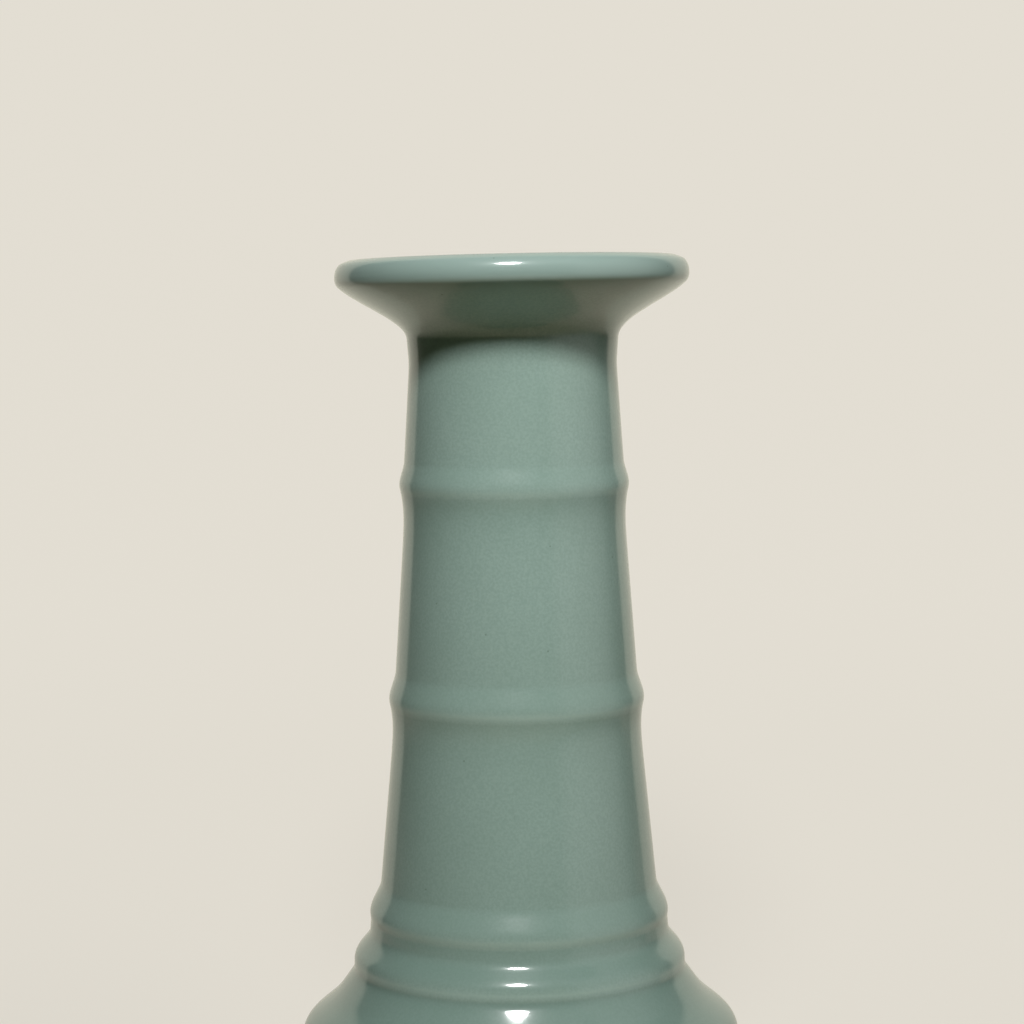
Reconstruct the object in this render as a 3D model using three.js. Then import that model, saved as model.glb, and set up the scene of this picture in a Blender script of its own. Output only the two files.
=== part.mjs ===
import * as THREE from 'three';

// Dish-mouth vase of celadon stoneware, in millimetres, +Z up.
// The origin is the middle of the circle that the foot stands on.
// Thrown clay sections are luted with slip in the crease under each rib, and one coat of glaze covers them.

// Number of flats round the vase
const FLATS = 32;

// Coats and clearances
const glazeThickness = 1.0;
const slipThickness = 1.0;
const clearance = 0.3;
const spigotClearance = 0.8;
const spigotLength = 3.5;

// Foot: a ring under the bowl, left bare below the glaze line
const footHeight = 10;
const footRadius = 58.5;
const footFlare = 1.5;
const footWidth = 10;
const footBevel = 1.2;
const glazeLine = 3;

// Belly: a bowl below its widest line and a dome above it
const bellyRadius = 84;
const bellyThickness = 7.5;
const bowlHeight = 40;
const domeHeight = 36.4;
const floorThickness = 7.5;
const floorRounding = 10;
const bowlSteps = 6;
const domeSteps = 5;
const hollowSteps = 4;

// Each tier above the belly starts at a joint, in the crease under its rib. Its outline swells to the
// crest, drops in along the flank, runs up a tapering wall to the waist, and tucks to the next joint.
// Shares of the flank's height over which the curve eases out of the crest and into the wall
const ribCrestEase = 0.3;
const ribFootEase = 0.2;
const shoulderEase = 0.5;

// Underside of a rib: shares of its swell and of its rise at the two bends between crease and crest
const undersideSwell = 0.9;
const undersideRise = 0.35;
const undersideEase = 0.45;
const undersideSteps = 2;

// Shares of the tuck's height where it bends, and how steeply it runs out into the crease under a rib
const tuckEaseOut = 0.5;
const tuckEaseIn = 0.3;
const creaseSlope = 0.16;
const tuckSteps = 2;

const shoulderRadius = 62;
const shoulderSwell = 0.25;
const shoulderCrestRise = 2.35;
const shoulderFlankRise = 14.7;
const shoulderWallRise = 2.65;
const shoulderTuckRise = 3.9;
const shoulderTaper = 1.9;
const shoulderTuck = 1.75;
const shoulderThickness = 8.6;
const shoulderSteps = 5;

const collarRadius = 47.15;
const collarSwell = -0.05;
const collarCrestRise = 1.45;
const collarFlankRise = 8.2;
const collarWallRise = 1.75;
const collarTuckRise = 1.5;
const collarTaper = 0.1;
const collarTuck = 0.15;
const collarThickness = 9;
const collarSteps = 3;

const lowerNeckRadius = 42.2;
const lowerNeckSwell = 0.25;
const lowerNeckCrestRise = 2;
const lowerNeckFlankRise = 8;
const lowerNeckWallRise = 35.5;
const lowerNeckTuckRise = 14.9;
const lowerNeckDrop = 3.25;
const lowerNeckTuck = 0.1;
const lowerNeckThickness = 8.2;

const middleNeckRadius = 35.75;
const middleNeckSwell = 0.4;
const middleNeckCrestRise = 2.5;
const middleNeckFlankRise = 7.4;
const middleNeckWallRise = 36.5;
const middleNeckTuckRise = 14;
const middleNeckDrop = 1.95;
const middleNeckTuck = -0.3;
const middleNeckThickness = 6.9;

const upperNeckRadius = 31.95;
const upperNeckSwell = 0.45;
const upperNeckCrestRise = 2.7;
const upperNeckFlankRise = 6.2;
const upperNeckWallRise = 25.2;
const upperNeckTuckRise = 9.1;
const upperNeckDrop = 1.5;
const upperNeckTuck = -0.35;
const upperNeckThickness = 6.6;
const neckSteps = 3;

// Dish mouth: its underside flares from the neck to the widest line, and its lip turns in above that
const dishNeckRadius = 29.65;
const dishThickness = 6.6;
const mouthRadius = 50;
const lipTurnIn = 3.5;
const flareHeight = 17.6;
const lipHeight = 5.5;
const flareEaseOut = 6.5;
const flareEaseIn = 5.4;
const dishHollowRise = 15;
const dishHollowDrop = 8;
const lipEase = 2;
const lipShoulderIn = 1;
const lipShoulderDrop = 0.9;
const dishSteps = 7;
const lipSteps = 3;
const dishHollowSteps = 4;

// Colours of the fired clay, the slip, the bare foot and the glaze
const clayMaterial = { color: 0xa39787, roughness: 0.9, metalness: 0 };
const slipMaterial = { color: 0x8f8373, roughness: 0.95, metalness: 0 };
const footMaterial = { color: 0x8a5a3e, roughness: 0.85, metalness: 0 };
const glazeMaterial = { color: 0x7f9789, roughness: 0.18, metalness: 0 };

// Tiers from the shoulder up. A short step's wall stands on the tier above it, a neck section's wall keeps
// its depth under its own rib.
const tiers = [
  {
    name: 'shoulder', radius: shoulderRadius, thickness: shoulderThickness, swell: shoulderSwell,
    crestRise: shoulderCrestRise, flankRise: shoulderFlankRise, wallRise: shoulderWallRise,
    tuckRise: shoulderTuckRise, tuck: shoulderTuck, flank: collarRadius + shoulderTuck + shoulderTaper,
    crestEase: shoulderEase, footEase: shoulderEase, steps: shoulderSteps,
  },
  {
    name: 'shoulder_collar', radius: collarRadius, thickness: collarThickness, swell: collarSwell,
    crestRise: collarCrestRise, flankRise: collarFlankRise, wallRise: collarWallRise,
    tuckRise: collarTuckRise, tuck: collarTuck, flank: lowerNeckRadius + collarTuck + collarTaper,
    crestEase: ribCrestEase, footEase: ribFootEase, steps: collarSteps,
  },
  {
    name: 'neck_lower', radius: lowerNeckRadius, thickness: lowerNeckThickness, swell: lowerNeckSwell,
    crestRise: lowerNeckCrestRise, flankRise: lowerNeckFlankRise, wallRise: lowerNeckWallRise,
    tuckRise: lowerNeckTuckRise, tuck: lowerNeckTuck,
    flank: lowerNeckRadius + lowerNeckSwell - lowerNeckDrop,
    crestEase: ribCrestEase, footEase: ribFootEase, steps: neckSteps,
  },
  {
    name: 'neck_middle', radius: middleNeckRadius, thickness: middleNeckThickness, swell: middleNeckSwell,
    crestRise: middleNeckCrestRise, flankRise: middleNeckFlankRise, wallRise: middleNeckWallRise,
    tuckRise: middleNeckTuckRise, tuck: middleNeckTuck,
    flank: middleNeckRadius + middleNeckSwell - middleNeckDrop,
    crestEase: ribCrestEase, footEase: ribFootEase, steps: neckSteps,
  },
  {
    name: 'neck_upper', radius: upperNeckRadius, thickness: upperNeckThickness, swell: upperNeckSwell,
    crestRise: upperNeckCrestRise, flankRise: upperNeckFlankRise, wallRise: upperNeckWallRise,
    tuckRise: upperNeckTuckRise, tuck: upperNeckTuck,
    flank: upperNeckRadius + upperNeckSwell - upperNeckDrop,
    crestEase: ribCrestEase, footEase: ribFootEase, steps: neckSteps,
  },
];

const footTopRadius = footRadius + footFlare;
const footInnerRadius = footRadius - footWidth;
const floorRadius = footTopRadius - floorRounding;
const bellyBore = bellyRadius - bellyThickness;
const dishBore = dishNeckRadius - dishThickness;
const lipRadius = mouthRadius - lipTurnIn;

const bellyJoint = footHeight + bowlHeight;
const tierStart = bellyJoint + domeHeight;
const joints = [footHeight, bellyJoint, tierStart];
for (const tier of tiers) {
  joints.push(joints.at(-1) + tier.crestRise + tier.flankRise + tier.wallRise + tier.tuckRise);
}
const dishJoint = joints.at(-1);
const totalHeight = dishJoint + flareHeight + lipHeight;

const point = (radius, height) => new THREE.Vector2(radius, height);

// Part of an ellipse whose widest line is at middleHeight, from that line to an end, in even angles
function bulge(widest, middleHeight, endRadius, endHeight, steps) {
  const endAngle = Math.acos(endRadius / widest);
  const reach = (endHeight - middleHeight) / Math.sin(endAngle);
  const points = [];
  for (let i = 0; i <= steps; i += 1) {
    const angle = (endAngle * i) / steps;
    points.push(point(widest * Math.cos(angle), middleHeight + reach * Math.sin(angle)));
  }
  return points;
}

// Flank of a rib, from its crest into the slope of the wall above it
function ribFlank(crest, crestHeight, flank, flankHeight, wallSlope, tier) {
  const rise = flankHeight - crestHeight;
  const easeIn = tier.footEase * rise;
  const curve = new THREE.CubicBezierCurve(
    point(crest, crestHeight),
    point(crest, crestHeight + tier.crestEase * rise),
    point(flank - wallSlope * easeIn, flankHeight - easeIn),
    point(flank, flankHeight),
  );
  return curve.getPoints(tier.steps);
}

// Underside of a rib, from its crease out to just under the crest
function ribUnderside(tier, start) {
  const crest = tier.radius + tier.swell;
  const curve = new THREE.CubicBezierCurve(
    point(tier.radius, start),
    point(tier.radius + tier.swell * undersideSwell, start + tier.crestRise * undersideRise),
    point(crest, start + tier.crestRise * (1 - undersideEase)),
    point(crest, start + tier.crestRise),
  );
  return curve.getPoints(undersideSteps).slice(0, -1);
}

// Top of a wall, from its waist to just under the next joint
function wallTuck(waist, waistHeight, nextRadius, rise, wallSlope, endSlope) {
  const easeOut = tuckEaseOut * rise;
  const easeIn = tuckEaseIn * rise;
  const curve = new THREE.CubicBezierCurve(
    point(waist, waistHeight),
    point(waist + wallSlope * easeOut, waistHeight + easeOut),
    point(nextRadius - endSlope * easeIn, waistHeight + rise - easeIn),
    point(nextRadius, waistHeight + rise),
  );
  return curve.getPoints(tuckSteps).slice(0, -1);
}

function tierOutline(tier, start, nextRadius, endSlope) {
  const waist = nextRadius + tier.tuck;
  const crest = tier.radius + tier.swell;
  const crestHeight = start + tier.crestRise;
  const flankHeight = crestHeight + tier.flankRise;
  const wallSlope = (waist - tier.flank) / tier.wallRise;
  return [
    ...ribUnderside(tier, start),
    ...ribFlank(crest, crestHeight, tier.flank, flankHeight, wallSlope, tier),
    ...wallTuck(waist, flankHeight + tier.wallRise, nextRadius, tier.tuckRise, wallSlope, endSlope),
  ];
}

function dishOutline() {
  const widestHeight = totalHeight - lipHeight;
  const flare = new THREE.CubicBezierCurve(
    point(dishNeckRadius, dishJoint),
    point(dishNeckRadius, dishJoint + flareEaseOut),
    point(mouthRadius, widestHeight - flareEaseIn),
    point(mouthRadius, widestHeight),
  );
  const lip = new THREE.CubicBezierCurve(
    point(mouthRadius, widestHeight),
    point(mouthRadius, widestHeight + lipEase),
    point(mouthRadius - lipShoulderIn, totalHeight - lipShoulderDrop),
    point(lipRadius, totalHeight),
  );
  return [...flare.getPoints(dishSteps), ...lip.getPoints(lipSteps).slice(1)];
}

// Glazed surface outside, from the glaze line at the foot up to the top of the lip
function outsideOutline() {
  const outline = [point(footRadius + (footFlare * glazeLine) / footHeight, glazeLine)];
  outline.push(...bulge(bellyRadius, bellyJoint, footTopRadius, footHeight, bowlSteps).toReversed());
  outline.push(...bulge(bellyRadius, bellyJoint, tiers[0].radius, tierStart, domeSteps).slice(1, -1));
  tiers.forEach((tier, i) => {
    const underRib = i + 1 < tiers.length;
    const nextRadius = underRib ? tiers[i + 1].radius : dishNeckRadius;
    outline.push(...tierOutline(tier, joints[i + 2], nextRadius, underRib ? creaseSlope : 0));
  });
  outline.push(...dishOutline());
  return outline;
}

// Glazed surface inside, from the lip down the bore and the belly to the middle of the floor
function insideOutline() {
  const hollow = new THREE.CubicBezierCurve(
    point(lipRadius, totalHeight),
    point(lipRadius - lipTurnIn, totalHeight - dishHollowDrop),
    point(dishBore, dishJoint + dishHollowRise),
    point(dishBore, dishJoint),
  );
  const outline = hollow.getPoints(dishHollowSteps).slice(1);
  const bores = tiers.map((tier, i) => point(tier.radius - tier.thickness, joints[i + 2]));
  const floorHeight = footHeight + floorThickness + glazeThickness;
  outline.push(...bores.toReversed());
  outline.push(...bulge(bellyBore, bellyJoint, bores[0].x, tierStart, hollowSteps).toReversed().slice(1));
  outline.push(...bulge(bellyBore, bellyJoint, floorRadius, floorHeight, hollowSteps).slice(1));
  outline.push(point(0, floorHeight - glazeThickness));
  return outline;
}

// Moves a line sideways, to its left, by the same distance all along
function inset(line, distance) {
  const sides = line.slice(1).map((end, i) => {
    const along = end.clone().sub(line[i]).normalize();
    return point(-along.y, along.x);
  });
  return line.map((corner, i) => {
    const before = sides[Math.max(i - 1, 0)];
    const after = sides[Math.min(i, sides.length - 1)];
    const between = before.clone().add(after).normalize();
    const moved = corner.clone().addScaledVector(between, distance / between.dot(before));
    if (corner.x === 0) moved.x = 0;
    return moved;
  });
}

function radiusAt(line, height) {
  for (let i = 1; i < line.length; i += 1) {
    const [a, b] = [line[i - 1], line[i]];
    if ((a.y - height) * (b.y - height) <= 0 && a.y !== b.y) {
      return a.x + ((b.x - a.x) * (height - a.y)) / (b.y - a.y);
    }
  }
  return line[0].x;
}

// Stretch of a line between two heights, in the line's own direction
function stretch(line, from, to) {
  const [low, high] = [Math.min(from, to), Math.max(from, to)];
  const within = line.filter((corner) => corner.y > low && corner.y < high);
  return [point(radiusAt(line, from), from), ...within, point(radiusAt(line, to), to)];
}

const surface = [...outsideOutline(), ...insideOutline()];
const outsideCount = outsideOutline().length;
const coatBack = inset(surface, glazeThickness);
const clayFace = inset(surface, glazeThickness + clearance);
const clayOutside = clayFace.slice(0, outsideCount);
const clayInside = clayFace.slice(outsideCount - 1);
const halfSlip = slipThickness / 2;

const halfway = (height) => (radiusAt(clayOutside, height) + radiusAt(clayInside, height)) / 2;

// Turned solid from a closed outline given anticlockwise, its radius to the right and height up
function turned(name, outline, material) {
  const closed = outline[0].x === 0 ? outline : [...outline, outline[0]];
  const geometry = new THREE.LatheGeometry(closed, FLATS);
  geometry.rotateX(Math.PI / 2);
  const mesh = new THREE.Mesh(geometry, new THREE.MeshStandardMaterial(material));
  mesh.name = name;
  return mesh;
}

// Upper side of a joint: the spigot hangs inside the section below
function spigot(joint) {
  const tip = joint - spigotLength;
  return [
    point(halfway(tip), tip),
    point(halfway(joint + halfSlip), joint + halfSlip),
    point(radiusAt(clayOutside, joint + halfSlip), joint + halfSlip),
  ];
}

// Lower side of a joint: the rebate that the spigot stands in, from outside to inside
function rebate(joint) {
  const ledge = joint - spigotLength - clearance;
  return [
    point(halfway(joint - halfSlip) + spigotClearance, joint - halfSlip),
    point(halfway(ledge) + spigotClearance, ledge),
  ];
}

// Ring of clay between two joints, with a spigot below and a rebate above
function claySection(name, lower, upper) {
  const ledge = upper - spigotLength - clearance;
  const outline = [
    ...spigot(lower),
    ...stretch(clayOutside, lower + halfSlip, upper - halfSlip).slice(1),
    ...rebate(upper),
    ...stretch(clayInside, ledge, lower - spigotLength),
  ];
  return turned(name, outline, clayMaterial);
}

function mouthDish() {
  const outline = [
    ...spigot(dishJoint),
    ...clayOutside.filter((corner) => corner.y > dishJoint + halfSlip),
    ...stretch(clayInside, clayInside[0].y, dishJoint - spigotLength).slice(1),
  ];
  return turned('mouth_dish', outline, clayMaterial);
}

function bellyBowl() {
  const under = footHeight + halfSlip;
  const ledge = bellyJoint - spigotLength - clearance;
  const outline = [
    point(0, under),
    ...stretch(clayOutside, under, bellyJoint - halfSlip),
    ...rebate(bellyJoint),
    point(radiusAt(clayInside, ledge), ledge),
    ...clayInside.filter((corner) => corner.y < ledge),
  ];
  return turned('belly_bowl', outline, clayMaterial);
}

function footRing() {
  const top = footHeight - halfSlip;
  const bareRadius = clayOutside[0].x;
  const outline = [
    point(footInnerRadius + footBevel, 0),
    point(bareRadius - footBevel, 0),
    point(bareRadius, footBevel),
    ...stretch(clayOutside, glazeLine, top),
    point(footInnerRadius, top),
    point(footInnerRadius, footBevel),
  ];
  return turned('foot_ring', outline, footMaterial);
}

function lutingSlip(name, joint) {
  const [low, high] = [joint - halfSlip, joint + halfSlip];
  const outline = [
    point(halfway(low) + spigotClearance, low),
    point(radiusAt(clayOutside, low), low),
    point(radiusAt(clayOutside, high), high),
    point(halfway(high) + spigotClearance, high),
  ];
  return turned(name, outline, slipMaterial);
}

function footSlip() {
  const [low, high] = [footHeight - halfSlip, footHeight + halfSlip];
  const outline = [
    point(footInnerRadius, low),
    point(radiusAt(clayOutside, low), low),
    point(radiusAt(clayOutside, high), high),
    point(footInnerRadius, high),
  ];
  return turned('luting_slip_foot', outline, slipMaterial);
}

// One skin from the glaze line over the lip and down to the inner floor
function glazeCoat() {
  return turned('glaze_coat', [...coatBack.toReversed(), ...surface], glazeMaterial);
}

function baseGlaze() {
  const top = footHeight + halfSlip;
  const radius = footInnerRadius - clearance;
  const outline = [
    point(0, top - glazeThickness),
    point(radius, top - glazeThickness),
    point(radius, top),
    point(0, top),
  ];
  return turned('base_glaze', outline, glazeMaterial);
}

const vase = new THREE.Group();
vase.add(footRing(), footSlip(), bellyBowl());
vase.add(lutingSlip('luting_slip_belly', bellyJoint));
vase.add(claySection('belly_dome', bellyJoint, tierStart));
tiers.forEach((tier, i) => {
  vase.add(lutingSlip(`luting_slip_${tier.name}`, joints[i + 2]));
  vase.add(claySection(tier.name, joints[i + 2], joints[i + 3]));
});
vase.add(lutingSlip('luting_slip_mouth', dishJoint));
vase.add(mouthDish());
vase.add(glazeCoat(), baseGlaze());

export default vase;
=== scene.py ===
import math

import bmesh
import bpy
import numpy as np
from mathutils import Matrix, Vector


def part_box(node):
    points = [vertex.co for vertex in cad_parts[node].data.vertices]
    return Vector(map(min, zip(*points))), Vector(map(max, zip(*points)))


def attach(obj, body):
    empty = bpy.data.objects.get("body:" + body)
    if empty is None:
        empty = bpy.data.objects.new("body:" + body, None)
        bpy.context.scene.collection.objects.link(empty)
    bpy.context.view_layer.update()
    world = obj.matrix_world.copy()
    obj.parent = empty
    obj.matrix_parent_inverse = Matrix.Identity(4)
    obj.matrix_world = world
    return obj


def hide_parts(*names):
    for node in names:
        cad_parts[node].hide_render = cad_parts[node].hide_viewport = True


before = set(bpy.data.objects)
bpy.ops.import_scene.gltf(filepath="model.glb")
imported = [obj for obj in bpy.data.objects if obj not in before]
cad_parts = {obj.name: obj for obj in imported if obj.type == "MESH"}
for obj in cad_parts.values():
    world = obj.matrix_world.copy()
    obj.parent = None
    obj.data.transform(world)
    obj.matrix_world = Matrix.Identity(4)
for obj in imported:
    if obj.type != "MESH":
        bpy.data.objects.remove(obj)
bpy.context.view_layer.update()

# Celadon dish-mouth vase: one glazed skin and a bare foot, dressed over the clay sections of the frame.
# Lengths are metres unless a name or a comment says otherwise, +Z up, the middle of the foot at the origin.

MM = 0.001


def joint_height(seam):
    """Middle height of a slip seam between two clay sections."""
    low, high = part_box(seam)
    return (low.z + high.z) / 2


# Sizes of the vase, from the frame
GLAZE_LOW, GLAZE_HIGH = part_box("glaze_coat")
BASE_LOW, BASE_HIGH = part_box("base_glaze")
GLAZE_LINE = GLAZE_LOW.z
GLAZE_TOP = GLAZE_HIGH.z
BELLY_RADIUS = GLAZE_HIGH.x
FOOT_JOINT = BASE_HIGH.z
BELLY_JOINT = joint_height("luting_slip_belly")
MOUTH_JOINT = joint_height("luting_slip_mouth")

# Tiers above the belly, in millimetres, as the clay was turned. Each one stands on its seam, swells from the
# crease under its rib to the crest, falls in along the flank, runs up a tapering wall to the waist and tucks
# to the next seam. Its eases are the shares of the flank's height over which the flank bends out of the crest
# and into the wall. The glaze ran thin just above its crease, and pooled below it over the pool's run, where
# its darker colour is also painted shade under the rib.
TIERS = (
    dict(
        seam="luting_slip_shoulder", radius=62, swell=0.25, taper=1.9, tuck=1.75, thickness=8.6,
        crest_rise=2.35, flank_rise=14.7, wall_rise=2.65, tuck_rise=3.9, eases=(0.5, 0.5),
        thinned=0.5, pooled_and_shaded=0.4, pool_and_shade_run=2,
    ),
    dict(
        seam="luting_slip_shoulder_collar", radius=47.15, swell=-0.05, taper=0.1, tuck=0.15, thickness=9,
        crest_rise=1.45, flank_rise=8.4, wall_rise=1.65, tuck_rise=1.4, eases=(0.42, 0.34),
        thinned=0.75, pooled_and_shaded=0.52, pool_and_shade_run=2.5,
    ),
    dict(
        seam="luting_slip_neck_lower", radius=42.2, swell=0.25, taper=3.35, tuck=0.1, thickness=8.2,
        crest_rise=2, flank_rise=8.35, wall_rise=35.15, tuck_rise=14.9, eases=(0.3, 0.26),
        thinned=0.55, pooled_and_shaded=0.42, pool_and_shade_run=3,
    ),
    dict(
        seam="luting_slip_neck_middle", radius=35.75, swell=0.4, taper=2.55, tuck=-0.3, thickness=6.9,
        crest_rise=2.5, flank_rise=7.4, wall_rise=36.5, tuck_rise=14, eases=(0.28, 0.26),
        thinned=0.75, pooled_and_shaded=0.42, pool_and_shade_run=5,
    ),
    dict(
        seam="luting_slip_neck_upper", radius=31.95, swell=0.45, taper=1.6, tuck=-0.35, thickness=6.6,
        crest_rise=2.7, flank_rise=6.2, wall_rise=25.2, tuck_rise=9.1, eases=(0.28, 0.26),
        thinned=0.45, pooled_and_shaded=0.44, pool_and_shade_run=7.5,
    ),
)
TIER_JOINTS = [joint_height(tier["seam"]) for tier in TIERS]

# Underside of a rib: shares of its swell and of its rise at the two bends between crease and crest
UNDERSIDE_SWELL = 0.6
UNDERSIDE_RISE = 0.35
UNDERSIDE_EASE = 0.45

# Shares of the tuck's height where it bends, and how steeply it runs out into the crease under a rib
TUCK_EASES = (0.5, 0.3)
CREASE_SLOPE = 0.16

# Dish. A pair says how far inwards of its widest line and how far below the top of the lip a place lies
MOUTH_RADIUS = 50 * MM
DISH_NECK = 29.7 * MM
DISH_THICKNESS = 6.6 * MM
FLARE_EASE = 5.5 * MM
FLARE_BEND = (6.4 * MM, 13.1 * MM)
LIP_FOOT = (0.9 * MM, 7.8 * MM)
LIP_BENDS = ((-0.25 * MM, 6.4 * MM), (0.1 * MM, 2.8 * MM))
LIP_BEVEL = (1.8 * MM, 1.5 * MM)
BEVEL_BEND = (3.4 * MM, 0.8 * MM)
LIP_EDGE = (5 * MM, 0.35 * MM)
HOLLOW_BEND = (7.5 * MM, 8 * MM)
HOLLOW_RISE = 15 * MM

# Belly and foot
BELLY_THICKNESS = 7.5 * MM
FLOOR_THICKNESS = 7.5 * MM
FLOOR_ROUNDING = 10 * MM
FOOT_RADIUS = 58.5 * MM
FOOT_FLARE = 1.5 * MM
GLAZE_THICKNESS = 1 * MM

# Points along each curve, before the outline is measured out in fine steps
UNDERSIDE_POINTS = 16
FLANK_POINTS = 30
TUCK_POINTS = 16
FLARE_POINTS = 60
LIP_POINTS = 24
BEVEL_POINTS = 10
BELLY_POINTS = 50
HOLLOW_POINTS = 40

# Lean of the dish, and the height over which the neck takes it up
DISH_LEAN = math.radians(0.5)
LEAN_RISE = 6 * MM

# How finely the skin is turned: steps round the axis, the step along the outline, and the most that a face
# may turn or reach there. The back of the coat lies against the clay, where one point in four is enough
TURN_STEPS = 144
FINE_STEP = 0.12 * MM
MOST_TURN = math.radians(3)
MOST_STEP = 4 * MM
BACK_SKIP = 4
WELD_REACH = 1e-6

# How far the melt rounded the skin's corners, and how many such reaches the rounding takes in on each side
SOFTEN_REACH = 0.55 * MM
SOFTEN_SPREADS = 3

# Where above a crease the glaze is thinnest, how far that reaches, and the soft upper edge of the pool and
# of the painted shade under the rib
THIN_RISE = 1.1 * MM
THIN_REACH = 0.8 * MM
POOL_AND_SHADE_EDGE = 0.3 * MM

# Corners of the mesh that are matched to the outline at one time
VERTEX_BATCH = 4000

# Foot rim and base patch: the gap between them, how far inside their solids they stay, the bevel on which the
# foot narrows to the table, and how round their edges are
BASE_GAP = 0.3 * MM
SIDE_TRIM = 0.2 * MM
FOOT_BEVEL = 0.6 * MM
FOOT_SOFTEN = 0.5 * MM
BASE_SOFTEN = 0.3 * MM


def bezier(corners, count):
    """Points of a Bezier curve with any number of control points."""
    points = []
    for t in np.linspace(0, 1, count):
        level = [np.array(c, dtype=float) for c in corners]
        while len(level) > 1:
            level = [a * (1 - t) + b * t for a, b in zip(level, level[1:])]
        points.append(level[0])
    return points


def bulge(widest, middle, end_radius, end_height, count):
    """Part of an ellipse from its widest line, at the height middle, to one end."""
    end_angle = math.acos(end_radius / widest)
    reach = (end_height - middle) / math.sin(end_angle)
    angles = np.linspace(0, end_angle, count)
    return [np.array((widest * math.cos(a), middle + reach * math.sin(a))) for a in angles]


def tier_outline(tier, start, next_radius, end_slope):
    """One tier from the crease under its rib up to the next joint."""
    radius, swell, under = tier["radius"], tier["swell"], tier["crest_rise"]
    crest = radius + swell
    waist = next_radius + tier["tuck"]
    flank = waist + tier["taper"]
    rise = tier["flank_rise"]
    waist_rise = rise + tier["wall_rise"]
    end_rise = waist_rise + tier["tuck_rise"]
    slope = -tier["taper"] / tier["wall_rise"]
    ease_out, ease_in = (share * rise for share in tier["eases"])
    tuck_out, tuck_in = (share * tier["tuck_rise"] for share in TUCK_EASES)
    underside = [
        (radius, -under),
        (radius + UNDERSIDE_SWELL * swell, (UNDERSIDE_RISE - 1) * under),
        (crest, -UNDERSIDE_EASE * under),
        (crest, 0),
    ]
    fall = [(crest, 0), (crest, ease_out), (flank - slope * ease_in, rise - ease_in), (flank, rise)]
    tucked = [
        (waist, waist_rise),
        (waist + slope * tuck_out, waist_rise + tuck_out),
        (next_radius - end_slope * tuck_in, end_rise - tuck_in),
        (next_radius, end_rise),
    ]
    points = bezier(underside, UNDERSIDE_POINTS)
    points += bezier(fall, FLANK_POINTS)[1:]
    points += bezier(tucked, TUCK_POINTS)
    crest_height = start + under * MM
    return [np.array((radius * MM, crest_height + height * MM)) for radius, height in points]


def from_lip(offset):
    """Place that lies inwards of the mouth's widest line and below the top of the lip."""
    return (MOUTH_RADIUS - offset[0], GLAZE_TOP - offset[1])


def outside():
    """Glazed outline from the glaze line at the foot up to the top of the lip."""
    foot_top = FOOT_RADIUS + FOOT_FLARE
    points = [np.array((FOOT_RADIUS + FOOT_FLARE * GLAZE_LINE / FOOT_JOINT, GLAZE_LINE))]
    points += bulge(BELLY_RADIUS, BELLY_JOINT, foot_top, FOOT_JOINT, BELLY_POINTS)[::-1]
    points += bulge(BELLY_RADIUS, BELLY_JOINT, TIERS[0]["radius"] * MM, TIER_JOINTS[0], BELLY_POINTS)[1:-1]
    ends = [tier["radius"] for tier in TIERS[1:]] + [DISH_NECK / MM]
    slopes = [CREASE_SLOPE] * (len(TIERS) - 1) + [0]
    for tier, start, end, slope in zip(TIERS, TIER_JOINTS, ends, slopes):
        points += tier_outline(tier, start, end, slope)
    foot, bevel = from_lip(LIP_FOOT), from_lip(LIP_BEVEL)
    flare = [(DISH_NECK, MOUTH_JOINT), (DISH_NECK, MOUTH_JOINT + FLARE_EASE), from_lip(FLARE_BEND), foot]
    points += bezier(flare, FLARE_POINTS)
    points += bezier([foot, *(from_lip(bend) for bend in LIP_BENDS), bevel], LIP_POINTS)[1:]
    points += bezier([bevel, from_lip(BEVEL_BEND), from_lip(LIP_EDGE)], BEVEL_POINTS)[1:]
    return points


def inside():
    """Glazed outline from the lip down the bore and the belly to the middle of the floor."""
    bore = DISH_NECK - DISH_THICKNESS
    dish_foot = [(bore, MOUTH_JOINT + HOLLOW_RISE), (bore, MOUTH_JOINT)]
    points = bezier([from_lip(LIP_EDGE), from_lip(HOLLOW_BEND), *dish_foot], HOLLOW_POINTS)[1:]
    bores = [(tier["radius"] - tier["thickness"]) * MM for tier in TIERS]
    points += [np.array(place) for place in zip(bores[::-1], TIER_JOINTS[::-1])]
    floor = FOOT_JOINT + FLOOR_THICKNESS
    widest = BELLY_RADIUS - BELLY_THICKNESS
    floor_radius = FOOT_RADIUS + FOOT_FLARE - FLOOR_ROUNDING
    points += bulge(widest, BELLY_JOINT, bores[0], TIER_JOINTS[0], HOLLOW_POINTS)[::-1][1:]
    points += bulge(widest, BELLY_JOINT, floor_radius, floor, HOLLOW_POINTS)[1:]
    points.append(np.array((0, floor)))
    return points


def lengths_along(line):
    """How far along the line each of its points lies."""
    return np.concatenate([[0], np.cumsum(np.linalg.norm(np.diff(line, axis=0), axis=1))])


def resample(points, step):
    """The same line with a point at every step of its length."""
    points = np.array(points)
    lengths = lengths_along(points)
    places = np.linspace(0, lengths[-1], max(2, round(lengths[-1] / step)))
    return np.stack([np.interp(places, lengths, points[:, k]) for k in (0, 1)], axis=1)


def soften(line, reach):
    """Rounds every corner as melted glaze does. The line's two ends stay where they are."""
    span = int(SOFTEN_SPREADS * reach / FINE_STEP)
    weights = np.exp(-0.5 * (np.arange(-span, span + 1) * FINE_STEP / reach) ** 2)
    weights /= weights.sum()
    ahead = 2 * line[0] - line[span:0:-1]
    behind = 2 * line[-1] - line[-2 : -span - 2 : -1]
    padded = np.concatenate([ahead, line, behind])
    return np.stack([np.convolve(padded[:, k], weights, mode="valid") for k in (0, 1)], axis=1)


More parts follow.
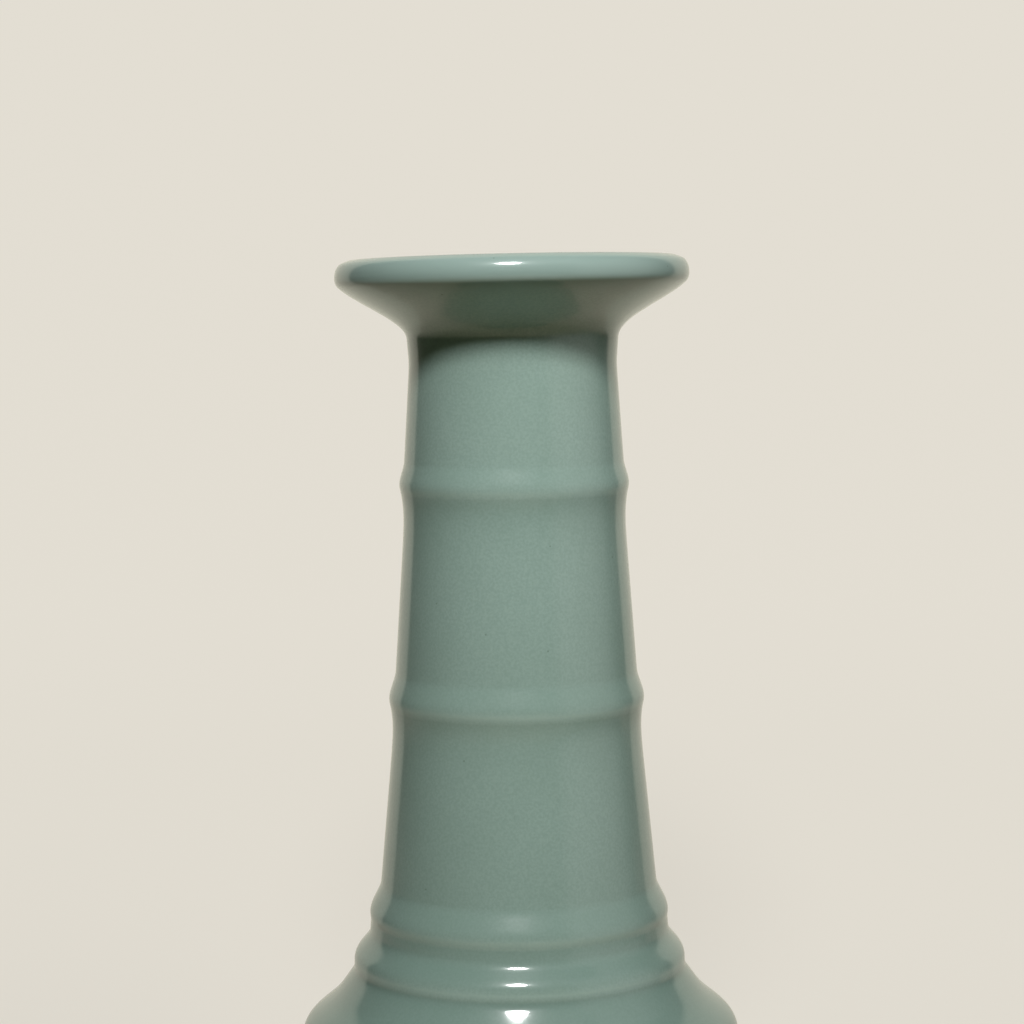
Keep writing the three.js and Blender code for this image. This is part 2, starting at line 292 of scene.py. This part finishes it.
def thin(line):
    """Indices of the points that the shape needs: more where it turns, few where it is straight."""
    along = np.diff(line, axis=0)
    angles = np.unwrap(np.arctan2(along[:, 1], along[:, 0]))
    turns = np.concatenate([[0], np.abs(np.diff(angles)), [0]])
    kept, turned = [0], 0.0
    for i in range(1, len(line) - 1):
        turned += turns[i]
        if turned > MOST_TURN or np.linalg.norm(line[i] - line[kept[-1]]) > MOST_STEP:
            kept.append(i)
            turned = 0.0
    return kept + [len(line) - 1]


def shifted(line, distance):
    """The line moved sideways into the clay."""
    along = np.gradient(line, axis=0)
    along /= np.linalg.norm(along, axis=1)[:, None]
    moved = line + distance * np.stack([-along[:, 1], along[:, 0]], axis=1)
    moved[:, 0] = np.where(line[:, 0] == 0, 0, moved[:, 0])
    return moved


def start_point(name):
    """New piece that is one point at the origin, in edit mode: a small plane with its corners merged."""
    bpy.ops.object.select_all(action="DESELECT")
    bpy.ops.mesh.primitive_plane_add(size=MM, location=(0, 0, 0))
    piece = bpy.context.object
    piece.name = name
    bpy.ops.object.mode_set(mode="EDIT")
    bpy.ops.mesh.select_all(action="SELECT")
    bpy.ops.mesh.merge(type="CENTER")
    return piece


def turn_solid(name, outline, closed):
    """Draws an outline of (radius, height) points in the XZ plane, joins its two ends if it is closed, and
    spins it round the Z axis."""
    piece = start_point(name)
    first = outline[0]
    bpy.ops.transform.translate(value=(first[0], 0, first[1]))
    for start, end in zip(outline, outline[1:]):
        step = (end[0] - start[0], 0, end[1] - start[1])
        bpy.ops.mesh.extrude_region_move(TRANSFORM_OT_translate={"value": step})
    bpy.ops.mesh.select_all(action="SELECT")
    if closed:
        mesh = bmesh.from_edit_mesh(piece.data)
        for vertex in mesh.verts:
            vertex.select = len(vertex.link_edges) == 1
        mesh.select_flush(False)
        bmesh.update_edit_mesh(piece.data)
        bpy.ops.mesh.edge_face_add()
        bpy.ops.mesh.select_all(action="SELECT")
    bpy.ops.mesh.spin(steps=TURN_STEPS, angle=2 * math.pi, center=(0, 0, 0), axis=(0, 0, 1))
    bpy.ops.mesh.select_all(action="SELECT")
    bpy.ops.mesh.remove_doubles(threshold=WELD_REACH)
    bpy.ops.mesh.normals_make_consistent(inside=False)
    bpy.ops.object.mode_set(mode="OBJECT")
    bpy.ops.object.shade_smooth()
    return piece


def glaze_depth_and_shade(piece, line):
    """Writes the depth of the glaze and its painted shade on each point of the mesh, from -1 where the glaze
    is thinnest to 1 where it is darkest. It is darker the more a surface leans back, as thicker glaze and as
    painted shade that damps the stronger light on faces turned up. It ran thin above each crease, and
    pooled below it, where the darkening is also painted shade under the rib."""
    steps = np.gradient(line, axis=0)
    lean = -steps[:, 0] / np.linalg.norm(steps, axis=1)
    lengths = lengths_along(line)
    outer = (np.arange(len(line)) < np.argmax(line[:, 1])) & (line[:, 1] < MOUTH_JOINT)
    # Painted shade: faces that lean back are darkened, on top of their thicker glaze
    depth_and_shade = np.where(outer, np.clip(lean, 0, 1), 0)
    for tier, joint in zip(TIERS, TIER_JOINTS):
        above = lengths - lengths[outer][np.abs(line[outer, 1] - joint).argmin()]
        fade = np.exp(-np.abs(above) / (tier["pool_and_shade_run"] * MM))
        depth_and_shade -= tier["thinned"] * np.exp(-0.5 * ((above - THIN_RISE) / THIN_REACH) ** 2)
        # Painted shade under each rib, together with the pooled glaze
        depth_and_shade += tier["pooled_and_shaded"] * fade / (1 + np.exp(above / POOL_AND_SHADE_EDGE))
    depth_and_shade = np.clip(depth_and_shade, -1, 1)
    places = np.array([v.co for v in piece.data.vertices])
    flat = np.stack([np.hypot(places[:, 0], places[:, 1]), places[:, 2]], axis=1)
    values = np.zeros(len(flat))
    for start in range(0, len(flat), VERTEX_BATCH):
        part = flat[start : start + VERTEX_BATCH]
        nearest = ((part[:, None, :] - line[None, :, :]) ** 2).sum(axis=2).argmin(axis=1)
        values[start : start + VERTEX_BATCH] = depth_and_shade[nearest]
    layer = piece.data.attributes.new("glaze_depth_and_shade", "FLOAT", "POINT")
    layer.data.foreach_set("value", values.astype(np.float32))


def lean_dish(skin):
    """Tips the dish to its left a little, as it sagged in the kiln."""
    places = np.array([v.co for v in skin.data.vertices])
    share = np.clip((places[:, 2] - MOUTH_JOINT) / LEAN_RISE, 0, 1)
    places[:, 2] += math.tan(DISH_LEAN) * places[:, 0] * share * share * (3 - 2 * share)
    skin.data.vertices.foreach_set("co", places.astype(np.float32).ravel())
    skin.data.update()


def make_glaze_skin():
    """The celadon coat: out from the glaze line, over the lip, down to the inner floor, with its back."""
    line = soften(resample(outside() + inside(), FINE_STEP), SOFTEN_REACH)
    line[-1, 0] = 0
    kept = thin(line)
    back = shifted(line, GLAZE_THICKNESS)[kept][::-BACK_SKIP]
    back[0, 0] = 0
    skin = turn_solid("glaze_skin", np.concatenate([back, line[kept]]), closed=False)
    glaze_depth_and_shade(skin, line)
    lean_dish(skin)
    return skin


def make_foot():
    """Bare foot ring that stands on the table, its edges rounded by a wet sponge."""
    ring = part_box("foot_ring")[1]
    inner, outer = BASE_HIGH.x + BASE_GAP, ring.x - SIDE_TRIM
    corners = [(inner, ring.z), (inner, 0), (outer - FOOT_BEVEL, 0), (outer, GLAZE_LINE), (outer, ring.z)]
    line = soften(resample(corners, FINE_STEP), FOOT_SOFTEN)
    line[:, 1] -= line[:, 1].min()
    return turn_solid("foot_rim", line[thin(line)], closed=True)


def make_base_glaze():
    """Patch of glaze under the base, its edge rounded where it ran out at the ring."""
    low, high, radius = BASE_LOW.z, BASE_HIGH.z, BASE_HIGH.x - SIDE_TRIM
    line = soften(resample([(0, high), (radius, high), (radius, low), (0, low)], FINE_STEP), BASE_SOFTEN)
    line[0], line[-1] = (0, high), (0, low)
    line[:, 1] = np.clip(line[:, 1], low, high)
    return turn_solid("base_patch", line[thin(line)], closed=False)


# Where a colour Mix node keeps its share, its two colours and its result
MIX_SHARE, MIX_A, MIX_B, MIX_OUT = 0, 6, 7, 2

# Colours of the glaze: its ground, its clouds and its grain, over the mouth with painted shade, where it
# pooled and takes painted shade, where it ran thin, and its iron specks. The last is the iron in bare clay
GLAZE_GREEN = "#84998f"
CLOUD_GREEN = "#8a9f96"
GRAIN_GREEN = "#768c82"
MOUTH_THIN_AND_SHADE_GREEN = "#80938c"
POOL_AND_SHADE_GREEN = "#577066"
THIN_GREEN = "#9fb5ac"
SPECK_GREEN = "#54685e"
IRON_BROWN = "#3a2a22"

# Sizes of the glaze's clouds, grain, iron specks and ripples
CLOUD_MM = 45
GRAIN_MM = 0.7
SPECK_MM = 9
RIPPLE_MM = 16

# Values of a noise between which its mottling runs, and how far from its middle a speck begins and is full
MOTTLE_LOW = 0.35
MOTTLE_HIGH = 0.65
SPECK_EDGE = 0.035
SPECK_CORE = 0.02

# Over the lip, between these heights, the glaze is thinner and greyer, and darker as painted shade that damps
# the stronger light on the lip's face
MOUTH_THIN_AND_SHADE_FROM = 0.298
MOUTH_THIN_AND_SHADE_TO = 0.302

# Shares that the grain, the pools with their painted shade, the thin glaze and the specks cover where they are
# full
GRAIN_SHARE = 0.45
POOL_AND_SHADE_SHARE = 0.76
THIN_SHARE = 0.6
SPECK_SHARE = 0.6

# A lime glaze bends light as window glass does
GLAZE_IOR = 1.5

# Bare clay: sizes of its patches and iron specks, counted in grits, and the specks' edge, core and share
PATCH_GRITS = 30
IRON_GRITS = 6
IRON_EDGE = 0.14
IRON_CORE = 0.08
IRON_SHARE = 0.8


def srgb(code):
    """Linear colour of an sRGB hex code."""
    parts = [int(code[i : i + 2], 16) / 255 for i in (1, 3, 5)]
    return [c / 12.92 if c <= 0.04045 else ((c + 0.055) / 1.055) ** 2.4 for c in parts] + [1]


def new_material(name):
    """Material with an empty node tree."""
    material = bpy.data.materials.new(name)
    material.use_nodes = True
    material.node_tree.nodes.clear()
    return material, material.node_tree


def add(tree, kind, inputs=None, **settings):
    """Adds a node, sets its properties, and gives each of its inputs a value or another node's output."""
    node = tree.nodes.new(kind)
    for key, value in settings.items():
        setattr(node, key, value)
    for key, value in (inputs or {}).items():
        if isinstance(value, bpy.types.NodeSocket):
            tree.links.new(value, node.inputs[key])
        else:
            node.inputs[key].default_value = value
    return node


def layered(tree, ground, layers):
    """Colour of a ground with layers over it. A layer is its colour, the value that it follows, where in that
    value it begins and where it is full, and the share that it covers where it is full."""
    colour = srgb(ground)
    for tint, follows, begins, full, share in layers:
        cover = add(
            tree, "ShaderNodeMapRange",
            {"Value": follows, "From Min": begins, "From Max": full, "To Max": share},
        )
        laid = add(
            tree, "ShaderNodeMix",
            {MIX_SHARE: cover.outputs["Result"], MIX_A: colour, MIX_B: srgb(tint)}, data_type="RGBA",
        )
        colour = laid.outputs[MIX_OUT]
    return colour


def celadon_glaze():
    """Celadon: a thick iron-tinted glaze fired in a smoky kiln. It reads as a soft grey-green with a glassy
    top, paler on the ribs where it ran thin and darker in the creases where it pooled. The darkening in
    the creases and on faces that lean back is also painted shade, and so is the darker colour over the lip."""
    material, tree = new_material("celadon_glaze")
    place = add(tree, "ShaderNodeTexCoord").outputs["Object"]
    height = add(tree, "ShaderNodeSeparateXYZ", {"Vector": place}).outputs["Z"]
    depth_and_shade = add(tree, "ShaderNodeAttribute", attribute_name="glaze_depth_and_shade").outputs["Fac"]
    cloud = add(tree, "ShaderNodeTexNoise", {"Vector": place, "Scale": 1000 / CLOUD_MM, "Detail": 3.0})
    grain = add(tree, "ShaderNodeTexNoise", {"Vector": place, "Scale": 1000 / GRAIN_MM, "Detail": 2.0})
    ripple = add(tree, "ShaderNodeTexNoise", {"Vector": place, "Scale": 1000 / RIPPLE_MM, "Detail": 1.0})
    speck = add(tree, "ShaderNodeTexVoronoi", {"Vector": place, "Scale": 1000 / SPECK_MM})
    colour = layered(
        tree, GLAZE_GREEN,
        (
            (CLOUD_GREEN, cloud.outputs["Fac"], MOTTLE_LOW, MOTTLE_HIGH, 1.0),
            (GRAIN_GREEN, grain.outputs["Fac"], MOTTLE_LOW, MOTTLE_HIGH, GRAIN_SHARE),
            # Painted shade over the lip, with its thinner glaze
            (MOUTH_THIN_AND_SHADE_GREEN, height, MOUTH_THIN_AND_SHADE_FROM, MOUTH_THIN_AND_SHADE_TO, 1.0),
            # Painted shade on faces that lean back and under each rib, with the pooled glaze
            (POOL_AND_SHADE_GREEN, depth_and_shade, 0.0, 1.0, POOL_AND_SHADE_SHARE),
            (THIN_GREEN, depth_and_shade, 0.0, -1.0, THIN_SHARE),
            (SPECK_GREEN, speck.outputs["Distance"], SPECK_EDGE, SPECK_CORE, SPECK_SHARE),
        ),
    )
    pits = add(
        tree, "ShaderNodeBump", {"Strength": 0.06, "Distance": 0.02 * MM, "Height": grain.outputs["Fac"]},
    )
    waves = add(
        tree, "ShaderNodeBump",
        {
            "Strength": 0.25, "Distance": 0.25 * MM,
            "Height": ripple.outputs["Fac"], "Normal": pits.outputs["Normal"],
        },
    )
    surface = add(
        tree, "ShaderNodeBsdfPrincipled",
        {
            "Base Color": colour, "Roughness": 0.35, "IOR": GLAZE_IOR, "Specular IOR Level": 0.15,
            "Coat Weight": 1.0, "Coat Roughness": 0.1, "Coat IOR": GLAZE_IOR,
            "Normal": waves.outputs["Normal"], "Coat Normal": waves.outputs["Normal"],
        },
    )
    add(tree, "ShaderNodeOutputMaterial", {"Surface": surface.outputs["BSDF"]})
    return material


def fired_clay(name, pale, dark, grit_mm, roughness):
    """Fired stoneware left bare, as the wheel and the turning tool left it: matt, with fine grit and iron
    specks, so it scatters light evenly and shows no reflections."""
    material, tree = new_material(name)
    place = add(tree, "ShaderNodeTexCoord").outputs["Object"]
    grit_scale = 1000 / grit_mm
    grit = add(tree, "ShaderNodeTexNoise", {"Vector": place, "Scale": grit_scale, "Detail": 4.0})
    patches = add(
        tree, "ShaderNodeTexNoise", {"Vector": place, "Scale": grit_scale / PATCH_GRITS, "Detail": 3.0},
    )
    iron = add(tree, "ShaderNodeTexVoronoi", {"Vector": place, "Scale": grit_scale / IRON_GRITS})
    colour = layered(
        tree, pale,
        (
            (dark, patches.outputs["Fac"], 0.0, 1.0, 1.0),
            (dark, grit.outputs["Fac"], 0.0, 1.0, 1.0),
            (IRON_BROWN, iron.outputs["Distance"], IRON_EDGE, IRON_CORE, IRON_SHARE),
        ),
    )
    rough = add(
        tree, "ShaderNodeBump", {"Strength": 0.5, "Distance": 0.1 * MM, "Height": grit.outputs["Fac"]},
    )
    surface = add(
        tree, "ShaderNodeBsdfPrincipled",
        {
            "Base Color": colour, "Roughness": roughness, "Specular IOR Level": 0.3,
            "Normal": rough.outputs["Normal"],
        },
    )
    add(tree, "ShaderNodeOutputMaterial", {"Surface": surface.outputs["BSDF"]})
    return material


def dress(piece, material, slot, *nodes):
    """Gives a finished piece its material and body, and hides the nodes that it stands for. The slot is not
    used.
    """
    piece.data.materials.clear()
    piece.data.materials.append(material)
    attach(piece, "root")
    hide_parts(*nodes)


# The paper as the camera sees it, where light falls on it, as the glaze mirrors its front and its back, and
# what it throws back onto the vase. The room is what is left round it
CREAM = "#e3ded3"
LIT_CREAM = "#f0ebe0"
FRONT_SAND = "#b8b098"
BACK_SAND = "#d8cdbc"
BOUNCE = "#7e8168"
ROOM = "#8f8f8c"
ROOM_LIGHT = 0.04

# Between these places, front to back, the mirrored paper turns from its front colour to its back colour
SAND_FROM = -0.1
SAND_TO = 0.15

# Share of light and shadow that the camera sees on the paper: whole up to the near distance, none past the
# far one, and down to the wall's share of it at the wall's height
LIT_SHARE = 0.2
LIT_NEAR = 0.3
LIT_FAR = 0.7
LIT_WALL_SHARE = 0.15
LIT_WALL_HEIGHT = 0.18

# Floor and wall
FLOOR_REACH = 2.5
FLOOR_SIDES = 96
FLOOR_LAP = 1 * MM
WALL_BACK = 0.3
WALL_BEND = 0.12
WALL_STEPS = 24
WALL_TALL = 1.6

# The wall as the glaze mirrors it
CARD_CREAM = "#e3e0ce"
CARD_LIGHT = 0.9
CARD_BACK = 0.32
CARD_HALF_WIDTH = 0.49
CARD_EVEN_HALF = 0.4

# Board on the right
BOARD_WHITE = "#fffdf8"
BOARD_LIGHT = 0.5
BOARD_EVEN_SHARE = 0.2
BOARD_SIDE = 0.55
BOARD_FRONT = -0.78
BOARD_BACK = 0.18
BOARD_LOW = -0.05
BOARD_HIGH = 0.8

# A glowing sheet before it is stretched is one unit wide and tall. Its light falls off to its sides by a power
# of the distance, is down to a share at its foot and full from a height that is counted from its middle
SHEET_HALF = 0.5
SIDE_FALL = 2.0
FOOT_LIGHT = 0.84
FOOT_DIM = -0.47
FOOT_FULL = -0.375


def backdrop_world():
    """Cream for the camera, and a dark room round the stand for all other light."""
    world = bpy.data.worlds.new("studio")
    world.use_nodes = True
    bpy.context.scene.world = world
    tree = world.node_tree
    tree.nodes.clear()
    seen = add(tree, "ShaderNodeLightPath").outputs["Is Camera Ray"]
    wall = add(tree, "ShaderNodeBackground", {"Color": srgb(CREAM), "Strength": 1.0})
    room = add(tree, "ShaderNodeBackground", {"Color": srgb(ROOM), "Strength": ROOM_LIGHT})
    mix = add(
        tree, "ShaderNodeMixShader",
        {"Fac": seen, 1: room.outputs["Background"], 2: wall.outputs["Background"]},
    )
    add(tree, "ShaderNodeOutputWorld", {"Surface": mix.outputs["Shader"]})


def sweep_paper():
    """Cream paper of the floor and the wall. It takes light and shadow near the vase and fades to an even
    cream further off. From behind or below it can't be seen."""
    material, tree = new_material("sweep_paper")
    seen = add(tree, "ShaderNodeLightPath").outputs
    place = add(tree, "ShaderNodeTexCoord").outputs["Object"]
    parts = add(tree, "ShaderNodeSeparateXYZ", {"Vector": place}).outputs
    flat = add(tree, "ShaderNodeVectorMath", {0: place, 1: (1, 1, 0)}, operation="MULTIPLY")
    far = add(tree, "ShaderNodeVectorMath", {0: flat.outputs["Vector"]}, operation="LENGTH")
    near = add(
        tree, "ShaderNodeMapRange",
        {
            "Value": far.outputs["Value"], "From Min": LIT_NEAR, "From Max": LIT_FAR,
            "To Min": LIT_SHARE, "To Max": 0.0,
        },
    )
    low = add(
        tree, "ShaderNodeMapRange",
        {"Value": parts["Z"], "From Max": LIT_WALL_HEIGHT, "To Min": 1.0, "To Max": LIT_WALL_SHARE},
    )
    shown = add(
        tree, "ShaderNodeMath", {0: near.outputs["Result"], 1: low.outputs["Result"]}, operation="MULTIPLY",
    )
    unseen = add(tree, "ShaderNodeMath", {0: 1.0, 1: seen["Is Camera Ray"]}, operation="SUBTRACT")
    lit = add(
        tree, "ShaderNodeMath", {0: shown.outputs["Value"], 1: unseen.outputs["Value"]}, operation="MAXIMUM",
    )
    tint = layered(
        tree, FRONT_SAND,
        (
            (BACK_SAND, parts["Y"], SAND_FROM, SAND_TO, 1.0),
            (LIT_CREAM, seen["Is Glossy Ray"], 1.0, 0.0, 1.0),
            (BOUNCE, seen["Is Diffuse Ray"], 0.0, 1.0, 1.0),
        ),
    )
    glow = add(tree, "ShaderNodeEmission", {"Color": srgb(CREAM), "Strength": seen["Is Camera Ray"]})
    paper = add(tree, "ShaderNodeBsdfDiffuse", {"Color": tint})
    front = add(
        tree, "ShaderNodeMixShader",
        {"Fac": lit.outputs["Value"], 1: glow.outputs["Emission"], 2: paper.outputs["BSDF"]},
    )
    side = add(tree, "ShaderNodeNewGeometry")
    clear = add(tree, "ShaderNodeBsdfTransparent")
    both = add(
        tree, "ShaderNodeMixShader",
        {"Fac": side.outputs["Backfacing"], 1: front.outputs["Shader"], 2: clear.outputs["BSDF"]},
    )
    add(tree, "ShaderNodeOutputMaterial", {"Surface": both.outputs["Shader"]})
    return material


def glowing_sheet(name, colour, strength, even_share):
    """White board or pale wall that throws the softbox back: it gives off a light of its own, which falls off
    to its sides past the even share of its half-width and is a little weaker at its foot."""
    material, tree = new_material(name)
    place = add(tree, "ShaderNodeTexCoord").outputs["Object"]
    parts = add(tree, "ShaderNodeSeparateXYZ", {"Vector": place}).outputs
    off = add(tree, "ShaderNodeMath", {0: parts["X"]}, operation="ABSOLUTE")
    past = add(
        tree, "ShaderNodeMapRange",
        {"Value": off.outputs["Value"], "From Min": even_share * SHEET_HALF, "From Max": SHEET_HALF},
    )
    fall = add(tree, "ShaderNodeMath", {0: past.outputs["Result"], 1: SIDE_FALL}, operation="POWER")
    level = add(tree, "ShaderNodeMath", {0: 1.0, 1: fall.outputs["Value"]}, operation="SUBTRACT")
    rise = add(
        tree, "ShaderNodeMapRange",
        {
            "Value": parts["Z"], "From Min": FOOT_DIM, "From Max": FOOT_FULL,
            "To Min": FOOT_LIGHT * strength, "To Max": strength,
        },
    )
    power = add(
        tree, "ShaderNodeMath", {0: level.outputs["Value"], 1: rise.outputs["Result"]}, operation="MULTIPLY",
    )
    glow = add(tree, "ShaderNodeEmission", {"Color": srgb(colour), "Strength": power.outputs["Value"]})
    add(tree, "ShaderNodeOutputMaterial", {"Surface": glow.outputs["Emission"]})
    return material


def standing_sheet(name, start, end, low, high, material):
    """Upright sheet between two places on the floor and two heights, that shows only in the glaze."""
    bpy.ops.object.select_all(action="DESELECT")
    bpy.ops.mesh.primitive_plane_add(size=1, location=(0, 0, 0), rotation=(math.pi / 2, 0, 0))
    sheet = bpy.context.object
    bpy.ops.object.transform_apply(location=True, rotation=True, scale=True)
    run = Vector((end[0] - start[0], end[1] - start[1], 0))
    sheet.name = name
    sheet.scale = (run.length, 1, high - low)
    sheet.rotation_euler = (0, 0, math.atan2(run.y, run.x))
    sheet.location = ((start[0] + end[0]) / 2, (start[1] + end[1]) / 2, (low + high) / 2)
    sheet.visible_camera = False
    sheet.visible_diffuse = False
    sheet.visible_shadow = False
    sheet.data.materials.append(material)


def make_floor(paper):
    """Round paper under the vase. Under the foot it is open, so that light from below reaches the base."""
    bpy.ops.object.select_all(action="DESELECT")
    bpy.ops.mesh.primitive_circle_add(
        vertices=FLOOR_SIDES, radius=FLOOR_REACH, fill_type="NOTHING", location=(0, 0, 0),
    )
    floor = bpy.context.object
    floor.name = "floor"
    bpy.ops.object.mode_set(mode="EDIT")
    bpy.ops.mesh.select_all(action="SELECT")
    bpy.ops.mesh.extrude_region_move()
    share = (FOOT_RADIUS - FLOOR_LAP) / FLOOR_REACH
    bpy.ops.transform.resize(value=(share, share, 1))
    bpy.ops.mesh.select_all(action="SELECT")
    bpy.ops.mesh.normals_make_consistent(inside=False)
    bpy.ops.object.mode_set(mode="OBJECT")
    if floor.data.polygons[0].normal.z < 0:
        floor.data.flip_normals()
    floor.data.materials.append(paper)


def make_wall(paper):
    """Paper that rises behind the vase in one bend. The glaze mirrors a sheet of its own in its place."""
    wall = start_point("wall")
    bend = WALL_BACK - WALL_BEND
    bpy.ops.transform.translate(value=(-FLOOR_REACH, bend, 0))
    bpy.ops.mesh.extrude_region_move(TRANSFORM_OT_translate={"value": (2 * FLOOR_REACH, 0, 0)})
    bpy.ops.mesh.select_all(action="SELECT")
    bpy.ops.mesh.spin(steps=WALL_STEPS, angle=-math.pi / 2, center=(0, bend, WALL_BEND), axis=(1, 0, 0))
    bpy.ops.mesh.extrude_region_move(TRANSFORM_OT_translate={"value": (0, 0, WALL_TALL)})
    bpy.ops.object.mode_set(mode="OBJECT")
    bpy.ops.object.shade_smooth()
    wall.visible_diffuse = False
    wall.visible_glossy = False
    wall.visible_shadow = False
    wall.data.materials.append(paper)


def make_stage():
    """Pale paper under and behind the vase, its wall as the glaze mirrors it, and a board on the right."""
    paper = sweep_paper()
    make_floor(paper)
    make_wall(paper)
    standing_sheet(
        "wall_in_glaze", (-CARD_HALF_WIDTH, CARD_BACK), (CARD_HALF_WIDTH, CARD_BACK), 0, WALL_TALL,
        glowing_sheet("wall_in_glaze_paper", CARD_CREAM, CARD_LIGHT, CARD_EVEN_HALF / CARD_HALF_WIDTH),
    )
    standing_sheet(
        "side_board", (BOARD_SIDE, BOARD_FRONT), (BOARD_SIDE, BOARD_BACK), BOARD_LOW, BOARD_HIGH,
        glowing_sheet("side_board_white", BOARD_WHITE, BOARD_LIGHT, BOARD_EVEN_SHARE),
    )


# Lamps: where each one stands round the vase, in degrees from straight in front, to the right if positive,
# and in degrees up, how far it is from its aim, its width and height, its watts and its shape. The glaze
# mirrors the oval one only
LAMP_AIM = (0, 0, 0.2)
LAMPS = (
    dict(
        name="key_softbox", azimuth=-2.6, elevation=45, distance=0.85, size=(0.17, 0.13), power=7,
        shape="ELLIPSE",
    ),
    dict(
        name="fill_softbox", azimuth=42, elevation=45, distance=0.85, size=(0.25, 0.25), power=2.4,
        shape="RECTANGLE",
    ),
    dict(
        name="back_lamp", azimuth=180, elevation=12, distance=1.2, size=(0.4, 0.6), power=8,
        shape="RECTANGLE",
    ),
    dict(
        name="base_lamp", azimuth=0, elevation=-90, distance=0.7, size=(0.3, 0.3), power=2,
        shape="RECTANGLE",
    ),
)


def make_lights():
    """One oval softbox above the camera and a weaker one to its right, a low lamp behind that only the back
    of the vase sees, and one under the floor that only the base sees."""
    for lamp in LAMPS:
        side, up = math.radians(lamp["azimuth"]), math.radians(lamp["elevation"])
        flat, rise = lamp["distance"] * math.cos(up), lamp["distance"] * math.sin(up)
        place = (LAMP_AIM[0] + flat * math.sin(side), LAMP_AIM[1] - flat * math.cos(side), LAMP_AIM[2] + rise)
        data = bpy.data.lights.new(lamp["name"], "AREA")
        data.shape = lamp["shape"]
        data.size, data.size_y = lamp["size"]
        data.energy = lamp["power"]
        light = bpy.data.objects.new(lamp["name"], data)
        light.location = place
        light.rotation_euler = (Vector(LAMP_AIM) - Vector(place)).to_track_quat("-Z", "Y").to_euler()
        light.visible_glossy = lamp["shape"] == "ELLIPSE"
        bpy.context.collection.objects.link(light)


# Camera: its focal length in pixels of the photograph's frame, and its place and tilt
PHOTO_PIXELS = 1024
FOCAL_PIXELS = 2556
SENSOR = 36
CAMERA_DISTANCE = 0.72
CAMERA_HEIGHT = 0.289
CAMERA_SIDE = -0.7 * MM
CAMERA_PITCH = math.radians(4.05)
CAMERA_ROLL = math.radians(-0.67)


def make_camera():
    """Camera in front of the vase, looking a little down at its neck."""
    data = bpy.data.cameras.new("camera")
    data.sensor_width = SENSOR
    data.lens = SENSOR * FOCAL_PIXELS / PHOTO_PIXELS
    camera = bpy.data.objects.new("camera", data)
    camera.location = (CAMERA_SIDE, -CAMERA_DISTANCE, CAMERA_HEIGHT)
    tilt = Matrix.Rotation(math.pi / 2 - CAMERA_PITCH, 3, "X")
    camera.rotation_euler = (tilt @ Matrix.Rotation(CAMERA_ROLL, 3, "Z")).to_euler()
    bpy.context.collection.objects.link(camera)
    bpy.context.scene.camera = camera


make_camera()
make_stage()
make_lights()
backdrop_world()

glaze = celadon_glaze()
foot_clay = fired_clay("burnt_foot_clay", pale="#9a6a4a", dark="#6e4630", grit_mm=0.5, roughness=0.8)
dress(make_glaze_skin(), glaze, "celadon_glaze", "glaze_coat")
dress(make_base_glaze(), glaze, "celadon_glaze", "base_glaze")
dress(make_foot(), foot_clay, "bare_foot", "foot_ring")

body_clay = fired_clay("stoneware_body", pale="#a89c8c", dark="#8f8373", grit_mm=0.5, roughness=0.9)
seam_slip = fired_clay("luting_slip", pale="#958979", dark="#7c7062", grit_mm=0.3, roughness=0.95)
for node_name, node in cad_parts.items():
    node.data.materials.clear()
    node.data.materials.append(seam_slip if node_name.startswith("luting_slip") else body_clay)

bpy.context.scene.view_settings.view_transform = "Standard"
